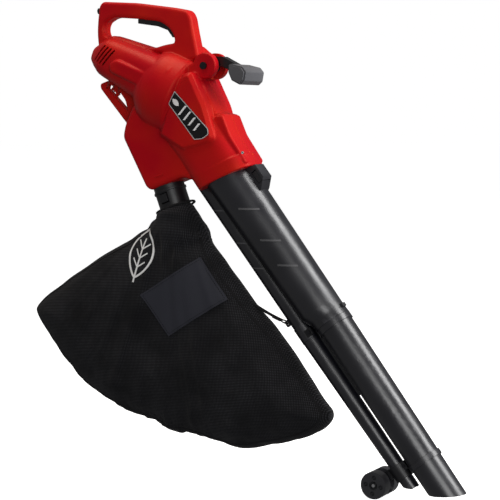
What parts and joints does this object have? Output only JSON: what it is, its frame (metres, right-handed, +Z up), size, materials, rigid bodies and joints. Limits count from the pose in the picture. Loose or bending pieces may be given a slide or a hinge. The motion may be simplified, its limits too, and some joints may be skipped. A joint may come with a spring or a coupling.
{
  "type": "leaf blower and garden vacuum",
  "caption": "Corded leaf blower and vacuum: loop-handled motor housing, twin suction and blower tubes, guide wheels and a hooked-on cloth collection bag.",
  "frame": {"origin": "centre of the main grip, in the tool's middle plane", "axes": "+Z up in the working posture, +X forward to the nozzle, +Y the tool's left"},
  "size_m": [0.938, 0.126, 0.9193],
  "materials": {
    "red_shell": "satin moulded plastic with fine spark texture",
    "black_shell": "satin black moulded plastic",
    "tube_black": "semi-gloss black moulded tube",
    "wheel_black": "matte black wheel",
    "steel": "bright zinc-plated steel",
    "laminated_steel": "stacked electrical steel",
    "copper": "enamelled copper winding and commutator bars",
    "carbon": "pressed carbon brush",
    "fan_alloy": "cast fan wheel",
    "label": "black label plate with a thin pale border",
    "bag_cloth": "black woven polyester",
    "patch_cloth": "slate coated cloth patch",
    "capacitor": "moulded suppression capacitor"
  },
  "bodies": {
    "tool": {"housing_right": "red_shell", "housing_left": "red_shell", "power_switch": "black_shell", "cord_gland": "black_shell", "cord_clamp": "black_shell", "tube_joint_catch": "black_shell", "tube_joint_clip": "black_shell", "wheel_carrier": "black_shell", "brush_holders": "black_shell", "motor_end_shield": "black_shell", "rear_bearing_holder": "black_shell", "rear_tube": "tube_black", "front_tube": "tube_black", "nozzle": "tube_black", "housing_screws": "steel", "trigger_pin": "steel", "aux_pivot_bolt": "steel", "tube_joint_screw": "steel", "wheel_axle": "steel", "axle_caps": "steel", "carrier_screw": "steel", "front_bearing": "steel", "rear_bearing": "steel", "field_stator": "laminated_steel", "field_windings": "copper", "carbon_brushes": "carbon", "fan_inlet_plate": "fan_alloy", "label_plate": "label", "suppression_capacitor": "capacitor"},
    "rotor": {"armature_core": "laminated_steel", "armature_windings": "copper", "commutator": "copper", "motor_shaft": "steel", "impeller": "fan_alloy", "impeller_nut": "steel"},
    "trigger": {"trigger": "black_shell"},
    "aux_handle": {"aux_handle_arm": "black_shell", "aux_handle_grip": "black_shell"},
    "aux_knob": {"aux_clamp_knob": "black_shell"},
    "release_button": {"tube_release_button": "black_shell"},
    "wheel_right": {"wheel_right": "wheel_black"},
    "wheel_left": {"wheel_left": "wheel_black"},
    "collection_bag": {"bag_connector": "black_shell", "bag_collar": "black_shell", "bag": "bag_cloth", "bag_patch": "patch_cloth"},
    "connector_button": {"connector_button": "black_shell"},
    "bag_hook": {"strap_hook": "steel", "bag_strap": "bag_cloth"}
  },
  "joints": [
    {"name": "rotor_spin", "type": "hinge", "parent": "tool", "child": "rotor", "pos_m": [0.116, 0, -0.171], "axis": [0.9205, 0, -0.3907], "continuous": true},
    {"name": "trigger_pull", "type": "hinge", "parent": "tool", "child": "trigger", "pos_m": [0.058, 0, -0.022], "axis": [0, 1, 0], "range_deg": [0, 3], "stiffness_Nm_per_rad": 4, "springref_deg": -5.73},
    {"name": "aux_handle_tilt", "type": "hinge", "parent": "tool", "child": "aux_handle", "pos_m": [0.1494, 0, -0.1084], "axis": [0, 1, 0], "range_deg": [-60, 30]},
    {"name": "aux_knob_turn", "type": "hinge", "parent": "tool", "child": "aux_knob", "pos_m": [0.1494, 0.034, -0.1084], "axis": [0, 1, 0], "range_deg": [-180, 180]},
    {"name": "release_button_press", "type": "slide", "parent": "tool", "child": "release_button", "axis": [0, 1, 0], "range_m": [0, 0.004], "stiffness_N_per_m": 400, "springref_m": -0.003},
    {"name": "wheel_right_spin", "type": "hinge", "parent": "tool", "child": "wheel_right", "pos_m": [0.50999, -0.019, -0.87246], "axis": [0, 1, 0], "continuous": true},
    {"name": "wheel_left_spin", "type": "hinge", "parent": "tool", "child": "wheel_left", "pos_m": [0.50999, 0.019, -0.87246], "axis": [0, 1, 0], "continuous": true},
    {"name": "bag_pull_off", "type": "slide", "parent": "tool", "child": "collection_bag", "axis": [0.3584, 0, -0.9336], "range_m": [0, 0.08]},
    {"name": "connector_button_press", "type": "slide", "parent": "collection_bag", "child": "connector_button", "axis": [0, 1, 0], "range_m": [0, 0.002], "stiffness_N_per_m": 600, "springref_m": -0.003},
    {"name": "bag_hook_swing", "type": "hinge", "parent": "tool", "child": "bag_hook", "pos_m": [0.3176, 0, -0.592], "axis": [0, 1, 0], "range_deg": [0, 15]}
  ]
}
